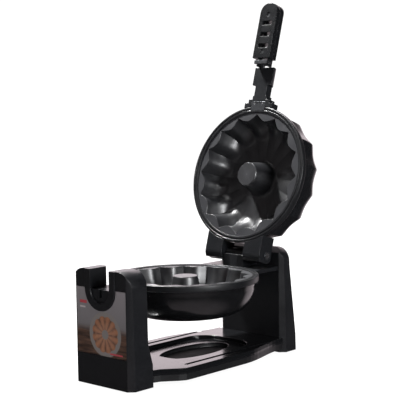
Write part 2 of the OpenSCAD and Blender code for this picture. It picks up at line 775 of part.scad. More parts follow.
// Half-round journal under the rim plane with its bracket on the lower shell
module lower_stub() color([0.11, 0.11, 0.12]) head() difference() {
    union() {
        intersection() {
            rod_x(-journal_x1, -rim_r, journal_r, 0);
            box([-far, -far, -far], [far, far, 0]);
        }
        box([-bracket_x, -stub_half, -journal_r], [-bracket_root, stub_half, 0]);
    }
    translate([0, 0, -rim_h]) cylinder(h = far, r = rim_r + fit, $fn = 144);
    translate([0, 0, -far / 2]) cylinder(h = far / 2, r = shell_r + fit, $fn = 144);
    // slot that takes the latch tongue
    box([-journal_x1 - 1, -tongue_half - 0.5, latch_up - tongue_l],
        [-latch_x + thumb_l + tongue_l, tongue_half + 0.5, 1]);
    for (s = [-1, 1]) translate([0, s * stub_screw_y, 0])
        rod_x(-far, -rim_r + 4, screw_r, -stub_screw_z);
}

module lower_stub_screws() color([0.6, 0.6, 0.6]) head()
    for (s = [-1, 1]) translate([-bracket_x, s * stub_screw_y, -stub_screw_z]) rotate([0, 90, 0])
        screw(bracket_x - rim_r + 2);

// ---- lid, drawn shut and then opened ----

module lid_rim() color([0.1, 0.1, 0.11]) opened() head() difference() {
    rotate_extrude($fn = 144) polygon([
        [rim_in_r, flange_in], [shell_r + fit, flange_in], [shell_r + fit, rim_h + rim_gap],
        [rim_r - rim_bevel, rim_h + rim_gap], [rim_r, rim_h + rim_gap - rim_bevel],
        [rim_r, rim_gap + 1], [rim_r - 1, rim_gap], [rim_in_r, rim_gap]]);
    plate_pocket();
    lid_hinge_holes();
}

// Dome profile at phase f as [radius, height], rim to crown
function dome_profile(f) = let (edge = dome_r - dome_in * f, top = dome_h) [
    [edge, rim_h + rim_gap + seat], [edge - dome_lean[0], top * 0.45],
    [edge - dome_lean[1], top * 0.66], [edge - dome_lean[2], top * 0.82],
    [edge - dome_lean[3], top * 0.93], [edge - dome_lean[4], top * 0.985],
    [crown_r, top], [1, top]];

function dome_in_pt(p, i, n) = let (d = p[min(i + 1, n - 1)] - p[max(i - 1, 0)], l = norm(d))
    i < 1 ? [p[i][0] - shell_t, p[i][1]] : i > n - 2 ? [p[i][0], p[i][1] - shell_t]
        : p[i] - [d[1], -d[0]] * shell_t / l;

module dome() {
    n = len(dome_profile(0));
    m = mould_steps;
    half = 180 / flutes;
    pts = concat(
        [for (i = [0:n - 1]) for (k = [0:m - 1])
            let (a = 360 * k / m, q = dome_profile(phase(a + half))[i]) [q[0] * cos(a), q[0] * sin(a), q[1]]],
        [for (i = [n - 1:-1:0]) for (k = [0:m - 1])
            let (a = 360 * k / m, q = dome_in_pt(dome_profile(phase(a + half)), i, n))
            [q[0] * cos(a), q[0] * sin(a), q[1]]]);
    body = [for (i = [0:2 * n - 1]) if (i != n - 1) for (k = [0:m - 1])
        let (j = (i + 1) % (2 * n), k2 = (k + 1) % m)
        for (tri = [[i * m + k, j * m + k, j * m + k2], [i * m + k, j * m + k2, i * m + k2]]) tri];
    caps = [[for (k = [m - 1:-1:0]) (n - 1) * m + k], [for (k = [0:m - 1]) n * m + k]];
    polyhedron(pts, concat(body, caps), convexity = 10);
}

module lid_shell() color([0.05, 0.05, 0.055]) opened() head() dome();
module lid_mould() color([0.22, 0.22, 0.23]) opened() head() translate([0, 0, flange_in]) mould(true);

// Heating parts of the lid: those of the pan, mirrored over the gap between the rims
module lid_heat() {
    opened() head() translate([0, 0, rim_gap]) mirror([0, 0, 1]) children();
}

module lid_element() lid_heat() element();
module lid_clamps() lid_heat() clamps();
module lid_thermostat() lid_heat() thermostat();
module lid_thermostat_post() lid_heat() thermostat_post(dome_h - rim_gap - shell_t - seat);

// Two cheeks outside the centre lug, joined by a bridge that passes over its barrel
module cheek_side() {
    cheek_x = pin_x + cheek_r - 1;
    intersection() {
        union() {
            translate([pin_x, pin_up]) circle(cheek_r);
            polygon([[cheek_root, rim_gap], [cheek_x, rim_gap], [cheek_x, pin_up],
                     [pin_x + 4, pin_up + cheek_top], [cheek_root, pin_up + cheek_top]]);
        }
        union() {
            translate([pin_x, pin_up]) circle(cheek_sweep);
            translate([0, -far]) square([pin_x, 2 * far]);
        }
        translate([0, -far / 2]) square([far, far / 2 + pin_up + cheek_top]);
    }
}

module bridge_side() {
    intersection() {
        translate([pin_x, pin_up]) difference() {
            circle(cheek_r);
            circle(bridge_r);
        }
        translate([rim_r, pin_up + bridge_z]) square([pin_x + bridge_end - rim_r, cheek_r]);
    }
}

module lid_hinge() color([0.1, 0.1, 0.11]) opened() head() difference() {
    union() {
        difference() {
            side(hinge_half) cheek_side();
            side(cheek_in) translate([0, -far / 2]) square([far, far]);
        }
        side(cheek_in + 1) bridge_side();
    }
    cylinder(h = far, r = rim_r + fit, $fn = 144);
    rod_y(-far, far, pin_r + pin_gap, pin_x, pin_up);
    lid_hinge_holes();
}

module lid_hinge_holes() {
    for (s = [-1, 1]) rotate([0, 0, s * lid_screw_angle])
        rod_x(shell_r + 1, rim_r + 8, screw_r, rim_h / 2 + rim_gap);
}

module lid_hinge_screws() color([0.6, 0.6, 0.6]) opened() head() lid_hinge_holes();

// Stepped bracket on the rim, neck and upper half-round journal
module lid_bracket() color([0.11, 0.11, 0.12]) opened() head() difference() {
    union() {
        for (i = [0:2]) box([-rim_r - bracket_out - i * bracket_step, -bracket_half[i], rim_gap],
                            [-bracket_root, bracket_half[i], bracket_h - i]);
        box([-journal_x0 - 1, -neck_w / 2, rim_gap], [-rim_r, neck_w / 2, neck_h]);
        intersection() {
            rod_x(-journal_x1, -journal_x0, journal_r, 0);
            box([-far, -far, rim_gap], [far, far, far]);
        }
        ears(0, journal_x1 - 1);
        for (s = [-1, 1]) box([-journal_x1 - 1.5, s > 0 ? ear_in : -ear_in - ear_t, rim_gap],
                              [-journal_x1 + 1, s > 0 ? ear_in + ear_t : -ear_in, ear_up1]);
    }
    cylinder(h = far, r = rim_r + fit, $fn = 144);
    rod_y(-far, far, latch_r, -latch_x, latch_up);
    plate_pocket();
    for (s = [-1, 1]) translate([-pad_screw_x, s * pad_screw_y, 0])
        cylinder(h = bracket_h / 2, r = pad_screw_r, $fn = 24);
}

// Two ears that hold the latch pin and carry the grip, grown by gap
module ears(gap, x) {
    for (s = [-1, 1]) box([-ear_x - gap, s > 0 ? ear_in - gap : -ear_in - ear_t - gap, ear_up0 - gap],
                          [-x - 1.5, s > 0 ? ear_in + ear_t + gap : -ear_in + gap, ear_up1 + gap]);
}

module plate_pocket() {
    box([-pad_out - fit, -pad_half - fit, -1], [-pad_in + fit, pad_half + fit, rim_gap + pad_t + 0.1]);
}

module bracket_plate() color([0.3, 0.3, 0.31]) opened() head() difference() {
    box([-pad_out, -pad_half, rim_gap], [-pad_in, pad_half, rim_gap + pad_t]);
    for (s = [-1, 1]) translate([-pad_screw_x, s * pad_screw_y, 0])
        cylinder(h = bracket_h / 2, r = pad_screw_r + 0.1, $fn = 24);
}

module plate_screws() color([0.7, 0.7, 0.7]) opened() head()
    for (s = [-1, 1]) translate([-pad_screw_x, s * pad_screw_y, rim_gap - 0.1])
        cylinder(h = bracket_h / 2 - rim_gap - 1, r = pad_screw_r, $fn = 24);

// Grip in two mouldings that meet halfway up
module grip_outline() {
    half = grip_w / 2;
    translate([-grip_end + grip_r, -half]) square([grip_l - grip_r, grip_w]);
    for (s = [-1, 1]) translate([-grip_end + grip_r, s * (half - grip_r)]) circle(grip_r);
    translate([-grip_end, -half + grip_r]) square([grip_r, grip_w - 2 * grip_r]);
}

module grip_body(z0, z1) {
    translate([0, 0, z0]) linear_extrude(height = z1 - z0) grip_outline();
}

module grip_cut() {
    half = (slot_l - slot_w) / 2;
    for (i = [0:slots - 1]) translate([-slot_mid - (i - (slots - 1) / 2) * slot_pitch, 0, 0]) {
        box([-slot_w / 2, -half, -far / 2], [slot_w / 2, half, far / 2]);
        for (s = [-1, 1]) translate([0, s * half, -far / 2]) cylinder(h = far, r = slot_w / 2, $fn = 32);
    }
    ears(fit, journal_x1);
}

module grip_lower() color([0.12, 0.12, 0.13]) opened() head() difference() {
    grip_body(grip_mid - grip_t / 2, grip_mid);
    grip_cut();
    for (x = grip_screw_x) translate([-x, 0, -far / 2]) {
        cylinder(h = far, r = screw_hole, $fn = 24);
        cylinder(h = far / 2 + grip_mid - grip_t / 2 + sink, r = head_r, $fn = 24);
    }
}

module grip_upper() color([0.12, 0.12, 0.13]) opened() head() difference() {
    grip_body(grip_mid, grip_mid + grip_t / 2);
    grip_cut();
    for (x = grip_screw_x) translate([-x, 0, -far])
        cylinder(h = far + grip_mid + grip_t / 2 - 2, r = screw_r, $fn = 24);
}

module grip_screws() color([0.65, 0.65, 0.65]) opened() head()
    for (x = grip_screw_x) translate([-x, 0, grip_mid - grip_t / 2 + sink - 1.8]) {
        cylinder(h = 1.8, r = head_r - 0.3, $fn = 24);
        cylinder(h = grip_t - sink - 1, r = screw_r, $fn = 24);
    }

module latch_pin() color([0.7, 0.7, 0.7]) opened() head()
    rod_y(-ear_in - ear_t - 1.5, ear_in + ear_t + 1.5, latch_r, -latch_x, latch_up);

// Lever between the ears: a thumb bar outside and a tongue that enters the lower journal
module latch_lever() color([0.3, 0.3, 0.31]) opened() head() difference() {
    thumb_x = grip_x - 1 - (latch_up - thumb_up) * sin(latch_angle);
    union() {
        rod_y(-lever_half, lever_half, latch_barrel, -latch_x, latch_up);
        box([-thumb_x, -lever_half, thumb_up + thumb_t / 2], [-thumb_x + thumb_l - 1, lever_half, latch_up]);
        box([-thumb_x, -thumb_half, thumb_up], [-thumb_x + thumb_l, thumb_half, thumb_up + thumb_t]);
        box([-latch_x, -tongue_half, latch_up - 2.5], [-latch_x + tongue_l, tongue_half, latch_up + 1.5]);
    }
    rod_y(-far, far, latch_r + pin_gap, -latch_x, latch_up);
}

front_post();
front_floor();
label_panel();
base_shell();
base_floor();
rear_post();
rear_floor();
rubber_feet();
floor_screws();
bearing_bush();
spindle_washer();
spindle_ring();
cord_bush();
terminal_block();
lower_shell();
lower_rim();
lower_mould();
lower_element();
lower_clamps();
lower_thermostat();
lower_thermostat_post();
lower_hinge();
lower_hinge_screws();
spindle();
hinge_pin();
pin_caps();
lower_stub();
lower_stub_screws();
lid_shell();
lid_rim();
lid_mould();
lid_element();
lid_clamps();
lid_thermostat();
lid_thermostat_post();
lid_hinge();
lid_hinge_screws();
lid_bracket();
bracket_plate();
plate_screws();
grip_lower();
grip_upper();
grip_screws();
latch_pin();
latch_lever();
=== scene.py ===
"""Looks of the rotary ring-cake maker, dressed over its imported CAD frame."""

import json
import math

import bmesh
import bpy
from mathutils import Matrix, Vector


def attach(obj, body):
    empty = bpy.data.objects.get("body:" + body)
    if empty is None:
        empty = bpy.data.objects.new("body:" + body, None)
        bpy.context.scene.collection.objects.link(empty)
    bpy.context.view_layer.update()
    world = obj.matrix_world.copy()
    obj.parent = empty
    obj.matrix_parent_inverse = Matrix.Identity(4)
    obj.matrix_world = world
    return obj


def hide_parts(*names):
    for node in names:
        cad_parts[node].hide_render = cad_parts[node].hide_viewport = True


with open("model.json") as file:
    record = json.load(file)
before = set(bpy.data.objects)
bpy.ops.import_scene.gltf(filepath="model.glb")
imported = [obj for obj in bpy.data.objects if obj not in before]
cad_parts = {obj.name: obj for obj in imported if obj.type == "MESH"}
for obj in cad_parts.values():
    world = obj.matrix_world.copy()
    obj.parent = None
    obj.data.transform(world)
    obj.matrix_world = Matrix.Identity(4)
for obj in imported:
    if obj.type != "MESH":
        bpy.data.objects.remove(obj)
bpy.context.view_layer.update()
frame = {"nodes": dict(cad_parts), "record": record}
nodes = frame["nodes"]

# ---- sizes of the part, in millimetres, as in its source ----
AXIS_Z = 140.0                           # the head's turning axis, level with the pan's rim
RIM_R, RIM_W, RIM_H, RIM_GAP = 111.0, 9.5, 9.5, 0.6
RIM_IN = RIM_R - RIM_W
LIP = 1.6                                # depth of the mould's flange below the rim
SHELL_R = RIM_R - 3.2
BOWL_R, BOWL_LEAN = 44.0, 1.5            # fillet of the lower shell and how far its wall leans in
BOWL_FLAT_R = 40                         # flat part of the lower shell's underside
FLUTES = 16
CUSP_R, FLUTE_IN = RIM_IN - 3.5, 10.0
CAVITY, CONE_R, SHEET = 40.0, 18.0, 1.4
PAN_DEPTH, DOME_H, DOME_IN, SHELL_T = 59.0, 62.0, 4.5, 2.4
DOME_R, CROWN_R, CROWN_MID_R = RIM_R - 1, RIM_R - 51, RIM_R - 80
FLANGE_IN = RIM_GAP + LIP
PLATE_HALF, PLATE_IN, PLATE_H = 14.6, 8.5, 1.05    # seat of the bracket's plate in the lid's rim
PIN = (126.0, 158.5)
OPEN = math.radians(106.5)
HUB_R = 0.4                              # where the turned profiles stop, just short of their axis

# ---- sizes of the look, in metres ----
WELL = (0.018, 0.069, 0.033)             # middle and half axes of the oval well
SOFT_EDGE = 0.0006                       # rounding of the moulded pieces' edges

# Points round the axis
FLUTED_STEPS = FLUTES * 26
BOWL_STEPS, RIM_STEPS = 256, 288

# Camera fitted to the photograph: azimuth, elevation, roll, distance, focal length and
# principal point in pixels of a 400 x 400 frame, and the point looked at
VIEW = dict(az=-47.58, el=5.62, roll=-0.75, far=1742.06, focal=1144.52,
            aim=(27.42, 0.0, 238.6), centre=(-3.28, 8.03))
FRAME = 400


def opened(p):
    """A point of the shut lid, in millimetres, turned into the open position."""
    x, z = p[0] - PIN[0], p[2] - PIN[1]
    c, s = math.cos(OPEN), math.sin(OPEN)
    return (PIN[0] + x * c + z * s, p[1], PIN[1] - x * s + z * c)


# ---- camera and lamps ----

def make_camera():
    az, el, roll = (math.radians(VIEW[k]) for k in ("az", "el", "roll"))
    back = Vector((math.sin(az) * math.cos(el), -math.cos(az) * math.cos(el), math.sin(el)))
    right = Vector((math.cos(az), math.sin(az), 0))
    up = back.cross(right)
    turned = right * math.cos(roll) + up * math.sin(roll)
    up = -right * math.sin(roll) + up * math.cos(roll)
    data = bpy.data.cameras.new("photo_camera")
    data.sensor_width = 36
    data.lens = VIEW["focal"] / FRAME * data.sensor_width
    data.shift_x = -VIEW["centre"][0] / FRAME
    data.shift_y = VIEW["centre"][1] / FRAME
    data.clip_start, data.clip_end = 0.05, 20
    cam = bpy.data.objects.new("photo_camera", data)
    bpy.context.scene.collection.objects.link(cam)
    place = (Vector(VIEW["aim"]) + back * VIEW["far"]) / 1000
    cam.matrix_world = Matrix.Translation(place) @ Matrix((turned, up, back)).transposed().to_4x4()
    bpy.context.scene.camera = cam


def soft_light(name, place, aim, size, power, tint=(1, 1, 1)):
    data = bpy.data.lights.new(name, "AREA")
    data.shape = "RECTANGLE"
    data.size, data.size_y = size
    data.energy = power
    data.color = tint
    lamp = bpy.data.objects.new(name, data)
    lamp.location = place
    lamp.rotation_mode = "QUATERNION"
    lamp.rotation_quaternion = (Vector(place) - Vector(aim)).to_track_quat("Z", "Y")
    bpy.context.scene.collection.objects.link(lamp)


# ---- node trees ----

class Nodes:
    """A node tree, built call by call. Values are sockets or plain numbers."""

    def __init__(self, tree):
        self.tree = tree

    def add(self, kind, inputs=None, **settings):
        node = self.tree.nodes.new(kind)
        for key, value in settings.items():
            setattr(node, key, value)
        for key, value in (inputs or {}).items():
            self.feed(node.inputs[key], value)
        return node

    def feed(self, socket, value):
        if isinstance(value, bpy.types.NodeSocket):
            self.tree.links.new(value, socket)
        else:
            socket.default_value = value

    def remap(self, value, a, b, c, d):
        """Value from a..b to c..d, held at the ends."""
        return self.add("ShaderNodeMapRange", {0: value, 1: a, 2: b, 3: c, 4: d}).outputs[0]

    def math(self, operation, a, b=0.0):
        return self.add("ShaderNodeMath", {0: a, 1: b}, operation=operation).outputs[0]

    def weighed(self, a, share_a, b, share_b):
        return self.math("ADD", self.math("MULTIPLY", a, share_a), self.math("MULTIPLY", b, share_b))

    def sum_of_squares(self, a, b):
        return self.math("ADD", self.math("MULTIPLY", a, a), self.math("MULTIPLY", b, b))


class Surface(Nodes):
    """A material round one Principled shader."""

    def __init__(self, name):
        self.mat = bpy.data.materials.new(name)
        self.mat.use_nodes = True
        super().__init__(self.mat.node_tree)
        self.shader = self.tree.nodes["Principled BSDF"]
        self.coords = self.add("ShaderNodeTexCoord").outputs["Object"]

    def set(self, **values):
        for key, value in values.items():
            self.feed(self.shader.inputs[key.replace("_", " ")], value)

    def axes(self):
        """The point's x, y and z, in metres."""
        return list(self.add("ShaderNodeSeparateXYZ", {"Vector": self.coords}).outputs)

    def stretched(self, scale):
        return self.add("ShaderNodeMapping", {"Vector": self.coords, "Scale": scale}).outputs["Vector"]

    def noise(self, scale, detail=3.0, rough=0.5, vector=None):
        return self.add("ShaderNodeTexNoise", {"Vector": vector or self.coords, "Scale": scale,
                                               "Detail": detail, "Roughness": rough}).outputs["Fac"]

    def mix(self, factor, a, b):
        node = self.add("ShaderNodeMix", {"Factor": factor}, data_type="RGBA", blend_type="MIX")
        self.feed(node.inputs[6], a)
        self.feed(node.inputs[7], b)
        return node.outputs[2]

    def rounded(self, radius):
        """Normal that rounds the edges off."""
        return self.add("ShaderNodeBevel", {"Radius": radius}, samples=4).outputs["Normal"]

    def bump(self, height, strength, distance, normal=None):
        inputs = {"Height": height, "Strength": strength, "Distance": distance}
        if normal is not None:
            inputs["Normal"] = normal
        return self.add("ShaderNodeBump", inputs).outputs["Normal"]


def shade(color, factor, lift=0.0):
    return tuple(min(1.0, c * factor + lift) for c in color[:3]) + (1,)


# ---- materials ----

def finish(name, color, rough, grain=900.0, depth=0.00006, strength=0.35, spread=0.06,
           metal=0.0, specular=0.5, coat=0.0, coat_rough=0.1, mottle=0.25):
    """A finish with grain, uneven gloss, faint mottling and slightly rubbed edges."""
    g = Surface(name)
    fine = g.noise(grain, 4.0, 0.6)
    broad = g.noise(35.0, 3.0, 0.5)
    speck = g.noise(grain * 0.45, 2.0, 0.7)
    tone = g.mix(g.remap(speck, 0.3, 0.7, 0.0, 1.0), shade(color, 1 - mottle), shade(color, 1 + mottle))
    rounded = g.rounded(0.0007)
    flat = g.add("ShaderNodeNewGeometry").outputs["Normal"]
    bend = g.add("ShaderNodeVectorMath", {0: rounded, 1: flat}, operation="DOT_PRODUCT").outputs["Value"]
    rub = g.math("MULTIPLY", g.remap(bend, 0.995, 0.8, 0.0, 1.0), g.remap(broad, 0.3, 0.7, 0.35, 1.0))
    g.set(Base_Color=g.mix(rub, tone, shade(color, 1.35, 0.004)), Metallic=metal,
          Specular_IOR_Level=specular, Coat_Weight=coat, Coat_Roughness=coat_rough,
          Roughness=g.remap(g.weighed(broad, 0.7, speck, 0.3),
                            0.3, 0.7, max(0.02, rough - spread), min(1.0, rough + spread)),
          Normal=g.bump(fine, strength, depth, rounded))
    return g.mat


def deck_finish():
    """Polished plastic of the base, duller in the well and recess, their sides and well darker."""
    recess_floor = (0.0185, 0.0165)          # heights between which the recess turns dull
    side_low, side_high = (0.0201, 0.0204), (0.0259, 0.0256)
    g = Surface("base_plastic")
    x, y, z = g.axes()
    u = g.math("DIVIDE", g.math("SUBTRACT", x, WELL[0]), WELL[1])
    v = g.math("DIVIDE", y, WELL[2])
    well = g.remap(g.sum_of_squares(u, v), 1.0, 0.97, 0.0, 1.0)
    broad = g.noise(30.0, 3.0, 0.5)
    fine = g.noise(900.0, 3.0, 0.5)
    rounded = g.rounded(0.0008)
    tone = g.mix(g.remap(fine, 0.35, 0.65, 0.0, 1.0),
                 (0.0035, 0.0037, 0.0042, 1), (0.005, 0.0052, 0.0058, 1))
    dull = g.math("MAXIMUM", well, g.remap(z, *recess_floor, 0.0, 0.45))
    side = g.math("MULTIPLY", g.remap(z, *side_low, 0.0, 1.0), g.remap(z, *side_high, 0.0, 1.0))
    dark = g.math("MAXIMUM", well, side)
    g.set(Base_Color=tone, Specular_IOR_Level=g.remap(dark, 0.0, 1.0, 0.5, 0.06),
          Roughness=g.math("ADD", g.remap(broad, 0.3, 0.7, 0.13, 0.19), g.math("MULTIPLY", dull, 0.5)),
          Normal=g.bump(fine, 0.06, 0.00004, rounded))
    return g.mat


def brushed(name, color, rough):
    """Bare metal with fine lines along one way."""
    g = Surface(name)
    lines = g.noise(1.0, 4.0, 0.6, g.stretched((60, 60, 2500)))
    g.set(Base_Color=g.mix(lines, shade(color, 0.85), color), Metallic=1.0,
          Roughness=g.remap(lines, 0.3, 0.7, rough - 0.07, rough + 0.1),
          Normal=g.bump(lines, 0.25, 0.00003))
    return g.mat


def coated(name, color, rough):
    """Non-stick coating: orange peel, faint specks and lighter rubbed edges."""
    g = Surface(name)
    peel = g.noise(420.0, 2.0, 0.5)
    fine = g.noise(1700.0, 3.0, 0.6)
    broad = g.noise(28.0, 3.0, 0.5)
    speck = g.noise(2600.0, 1.0, 0.4)
    rounded = g.rounded(0.0003)
    edge = g.remap(g.add("ShaderNodeNewGeometry").outputs["Pointiness"], 0.52, 0.6, 0.0, 1.0)
    tone = g.mix(g.remap(broad, 0.35, 0.65, 0.0, 1.0), shade(color, 0.85), color)
    tone = g.mix(g.remap(speck, 0.62, 0.72, 0.0, 0.6), tone, shade(color, 2.4))
    tone = g.mix(edge, tone, shade(color, 2.2))
    g.set(Base_Color=tone, Specular_IOR_Level=0.9,
          Roughness=g.remap(g.weighed(broad, 0.6, fine, 0.4), 0.3, 0.7, rough - 0.06, rough + 0.08),
          Normal=g.bump(g.math("ADD", peel, g.math("MULTIPLY", fine, 0.5)), 0.3, 0.00008, rounded))
    return g.mat


def printed_label():
    """Satin print: a grey wall over a warm table, a ring cake seen from above and plain bars."""
    cake_y, cake_z = -0.008, 0.077
    cake_r, lobe_depth, hole_r, plate_r = 0.0245, 0.0022, 0.0065, 0.0325
    blur = 0.0006
    red, pale = (0.30, 0.03, 0.04, 1), (0.30, 0.26, 0.26, 1)
    g = Surface("label_print")
    _, y, z = g.axes()
    wave = g.noise(60.0, 3.0, 0.5)
    wall = g.mix(g.remap(z, 0.08, 0.14, 0.0, 1.0), (0.10, 0.092, 0.096, 1), (0.155, 0.14, 0.147, 1))
    planks = g.noise(1.0, 4.0, 0.6, g.stretched((1, 25, 260)))
    wood = g.mix(g.remap(planks, 0.35, 0.65, 0.0, 1.0), (0.018, 0.009, 0.006, 1), (0.085, 0.042, 0.026, 1))
    table_edge = g.math("ADD", z, g.math("MULTIPLY", wave, 0.006))
    base = g.mix(g.remap(table_edge, 0.082, 0.092, 0.0, 1.0), wood, wall)

    dy, dz = g.math("SUBTRACT", y, cake_y), g.math("SUBTRACT", z, cake_z)
    rad = g.math("SQRT", g.sum_of_squares(dy, dz))
    ang = g.math("ARCTAN2", dz, dy)
    scallop = g.math("ABSOLUTE", g.math("SINE", g.math("MULTIPLY", ang, 6.0)))
    outer = g.math("ADD", cake_r, g.math("MULTIPLY", scallop, lobe_depth))
    inside = g.remap(g.math("SUBTRACT", outer, rad), 0.0, blur, 0.0, 1.0)
    hole = g.remap(g.math("SUBTRACT", rad, hole_r), 0.0, blur, 0.0, 1.0)
    rim_shade = g.remap(rad, 0.006, 0.026, 0.9, 0.25)
    crust = g.mix(scallop, (0.024, 0.009, 0.005, 1), (0.20, 0.07, 0.03, 1))
    crust = g.mix(g.remap(g.noise(160.0, 3.0, 0.6), 0.4, 0.7, 0.0, 0.5), crust, (0.24, 0.11, 0.055, 1))
    crust = g.mix(g.math("MULTIPLY", rim_shade, 0.25), crust, (0.32, 0.2, 0.14, 1))
    plate = g.remap(g.math("SUBTRACT", plate_r, rad), 0.0, 0.0008, 0.0, 1.0)
    art = g.mix(plate, base, (0.13, 0.115, 0.108, 1))
    art = g.mix(g.math("MULTIPLY", inside, hole), art, crust)

    def bar(low, high, half, mid):
        off_middle = g.math("ABSOLUTE", g.math("SUBTRACT", y, mid))
        wide = g.remap(off_middle, half, half - blur, 0.0, 1.0)
        tall = g.math("MULTIPLY", g.remap(z, low, low + blur, 0.0, 1.0),
                      g.remap(z, high, high - blur, 0.0, 1.0))
        return g.math("MULTIPLY", wide, tall)

    for low, high, half, mid, tint in ((0.1175, 0.1225, 0.0075, 0.036, red),
                                       (0.1110, 0.1140, 0.0060, 0.0375, pale),
                                       (0.0495, 0.0525, 0.0130, -0.030, red)):
        art = g.mix(bar(low, high, half, mid), art, tint)
    g.set(Base_Color=art, Roughness=g.remap(wave, 0.3, 0.7, 0.34, 0.42), Specular_IOR_Level=0.4,
          Normal=g.bump(g.noise(1400.0, 2.0), 0.08, 0.00003))
    return g.mat


# ---- mesh code ----

def piece(name, rings, look, body, replaces, lid=False, angle=32):
    """A closed skin over rings of points in millimetres, in place of the CAD node it replaces."""
    count = len(rings[0])
    verts = [(opened(p) if lid else p) for ring in rings for p in ring]
    verts = [tuple(c / 1000 for c in p) for p in verts]
    faces = []
    for i in range(len(rings)):
        j = (i + 1) % len(rings)
        for k in range(count):
            m = (k + 1) % count
            faces.append((i * count + k, i * count + m, j * count + m, j * count + k))
    mesh = bpy.data.meshes.new(name)
    mesh.from_pydata(verts, [], faces)
    mesh.validate()
    bm = bmesh.new()
    bm.from_mesh(mesh)
    bmesh.ops.remove_doubles(bm, verts=bm.verts, dist=1e-7)
    bmesh.ops.recalc_face_normals(bm, faces=bm.faces)
    bm.to_mesh(mesh)
    bm.free()
    mesh.shade_smooth()
    mesh.set_sharp_from_angle(angle=math.radians(angle))
    mesh.materials.append(LOOKS[look])
    obj = bpy.data.objects.new(name, mesh)
    bpy.context.scene.collection.objects.link(obj)
    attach(obj, body)
    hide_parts(replaces)


def turns(steps):
    return [2 * math.pi * k / steps for k in range(steps)]


def spin(profile, steps):
    """Rings of a profile [(radius, height), ...] turned about the pan's axis."""
    return [[(r * math.cos(a), r * math.sin(a), AXIS_Z + h) for a in turns(steps)] for r, h in profile]


def curve_through(points, per):
    """A smooth line through control points, with per points for each span."""
    out = []
    for i in range(len(points) - 1):
        p0, p1 = points[max(i - 1, 0)], points[i]
        p2, p3 = points[i + 1], points[min(i + 2, len(points) - 1)]
        for s in range(per):
            t = s / per
            out.append(tuple(0.5 * (2 * b + (c - a) * t + (2 * a - 5 * b + 4 * c - d) * t * t
                                    + (3 * b - a - 3 * c + d) * t ** 3)
                             for a, b, c, d in zip(p0, p1, p2, p3)))
    out.append(tuple(points[-1]))
    return out


def phase(a):
    """0 at a cusp between two flutes, 1 in the middle of a flute."""
    return abs(math.sin(a * FLUTES / 2))


def across(t):
    """Radius at share t of the way from the cone to the cusps."""
    return CONE_R + t * (CUSP_R - CONE_R)


def cavity(f):
    """The cavity's profile at flute phase f, from the flange to the cone's top."""
    edge = CUSP_R - FLUTE_IN * f
    wall = [(edge, -0.25), (edge - 0.7, -CAVITY * 0.1), (edge - 2.5, -CAVITY * 0.3),
            (edge - 7.5, -CAVITY * 0.62), (edge - 14.5, -CAVITY * 0.84),
            (edge - 25 + f * 3, -CAVITY * 0.96), (across(0.55) - 2 * f, -CAVITY + f),
            (across(0.4), -CAVITY + f / 2), (across(0.17), -CAVITY), (across(0.13), -CAVITY * 0.965),
            (across(0.11), -CAVITY * 0.9), (across(0.075), -CAVITY * 0.6), (across(0.04), -CAVITY * 0.3),
            (across(0.015), -CAVITY * 0.06), (CONE_R + 0.3, -0.3)]
    line = curve_through(wall, 4)
    return [(SHELL_R - 0.3, 0), (edge + 0.25, 0)] + line + [(CONE_R, 0), (CONE_R * 0.5, 0), (HUB_R, 0)]


def dome(f):
    """The lid's outer profile at flute phase f, from the rim to the crown's middle."""
    edge = DOME_R - DOME_IN * f
    side = [(edge, RIM_H + RIM_GAP + 0.2), (edge - 0.5, DOME_H * 0.45), (edge - 2.2, DOME_H * 0.66),
            (edge - 8.2, DOME_H * 0.815), (edge - 17.7, DOME_H * 0.924), (edge - 32.5, DOME_H * 0.98),
            (CROWN_R, DOME_H)]
    return curve_through(side, 5) + [(CROWN_MID_R, DOME_H), (HUB_R, DOME_H)]


def fluted(profile, z0, flip=1, shift=0.0):
    """Rings of a profile that changes with the flute phase round the pan's axis."""
    angles = turns(FLUTED_STEPS)
    columns = [profile(phase(a + shift)) for a in angles]
    return [[(col[i][0] * math.cos(a), col[i][0] * math.sin(a), z0 + flip * col[i][1])
             for a, col in zip(angles, columns)] for i in range(len(columns[0]))]


def thicken(rings, t):
    """Adds the same skin moved by t along its normals, as rings that close the first."""
    n, m = len(rings), len(rings[0])
    back = []
    for i in range(n):
        row = []
        for k in range(m):
            a = Vector(rings[min(i + 1, n - 1)][k]) - Vector(rings[max(i - 1, 0)][k])
            b = Vector(rings[i][(k + 1) % m]) - Vector(rings[i][k - 1])
            normal = a.cross(b)
            if normal.length < 1e-9:
                normal = Vector((0, 0, 1))
            normal.normalize()
            row.append(tuple(Vector(rings[i][k]) + normal * t))
        back.append(row)
    return rings + back[::-1]


def bowl_line(t):
    """Fillet at the bottom of the lower shell, moved inward by t."""
    return [(SHELL_R - BOWL_LEAN - BOWL_R + (BOWL_R - t) * math.sin(math.radians(a)),
             -PAN_DEPTH + BOWL_R - (BOWL_R - t) * math.cos(math.radians(a))) for a in range(0, 91, 5)]


# ---- the scene ----

make_camera()

